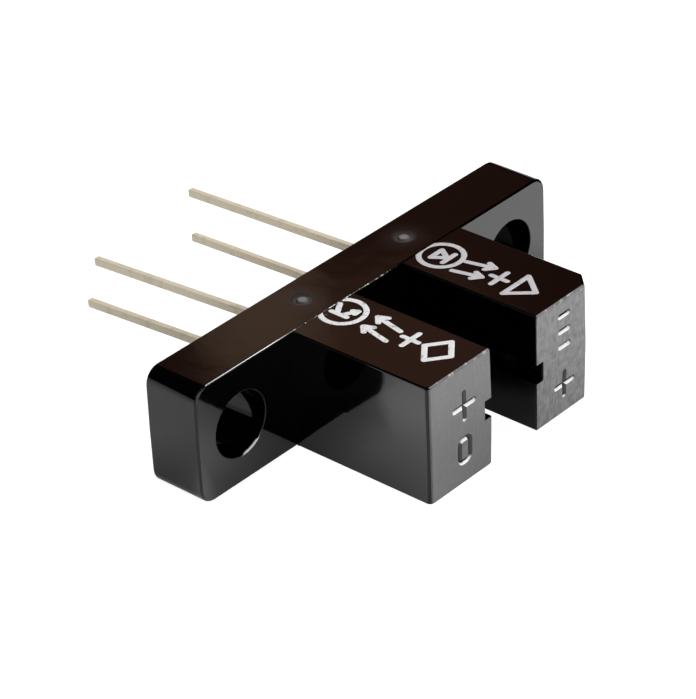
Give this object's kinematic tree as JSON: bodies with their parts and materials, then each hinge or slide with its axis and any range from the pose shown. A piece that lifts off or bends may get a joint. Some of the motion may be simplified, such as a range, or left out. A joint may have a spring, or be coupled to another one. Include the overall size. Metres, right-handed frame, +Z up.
{
  "type": "slotted optical switch",
  "caption": "Flanged slotted optical switch: a black moulding whose towers hold an emitter and a detector facing each other across a gap, with leads behind.",
  "frame": {"origin": "centre of the flange's back face, at mid-height between its two long side faces", "axes": "+X along the flange from the detector's end to the emitter's end, +Y out of the back face along the leads, +Z up from the long side face it lies on"},
  "size_m": [0.0244, 0.0233, 0.0061],
  "materials": {
    "housing_black": "black moulded polycarbonate, glossy with a matte tip",
    "emitter_epoxy": "blue-tinted epoxy, glossy",
    "detector_epoxy": "black infrared-passing epoxy, glossy",
    "lead_metal": "tin-plated strip, satin",
    "die": "polished semiconductor",
    "bond_wire": "fine gold wire"
  },
  "bodies": {
    "root": {"housing": "housing_black", "detector_package": "detector_epoxy", "emitter_package": "emitter_epoxy", "detector_collector_lead": "lead_metal", "detector_emitter_lead": "lead_metal", "emitter_cathode_lead": "lead_metal", "emitter_anode_lead": "lead_metal", "detector_die": "die", "emitter_die": "die", "detector_wire": "bond_wire", "emitter_wire": "bond_wire"}
  },
  "joints": []
}
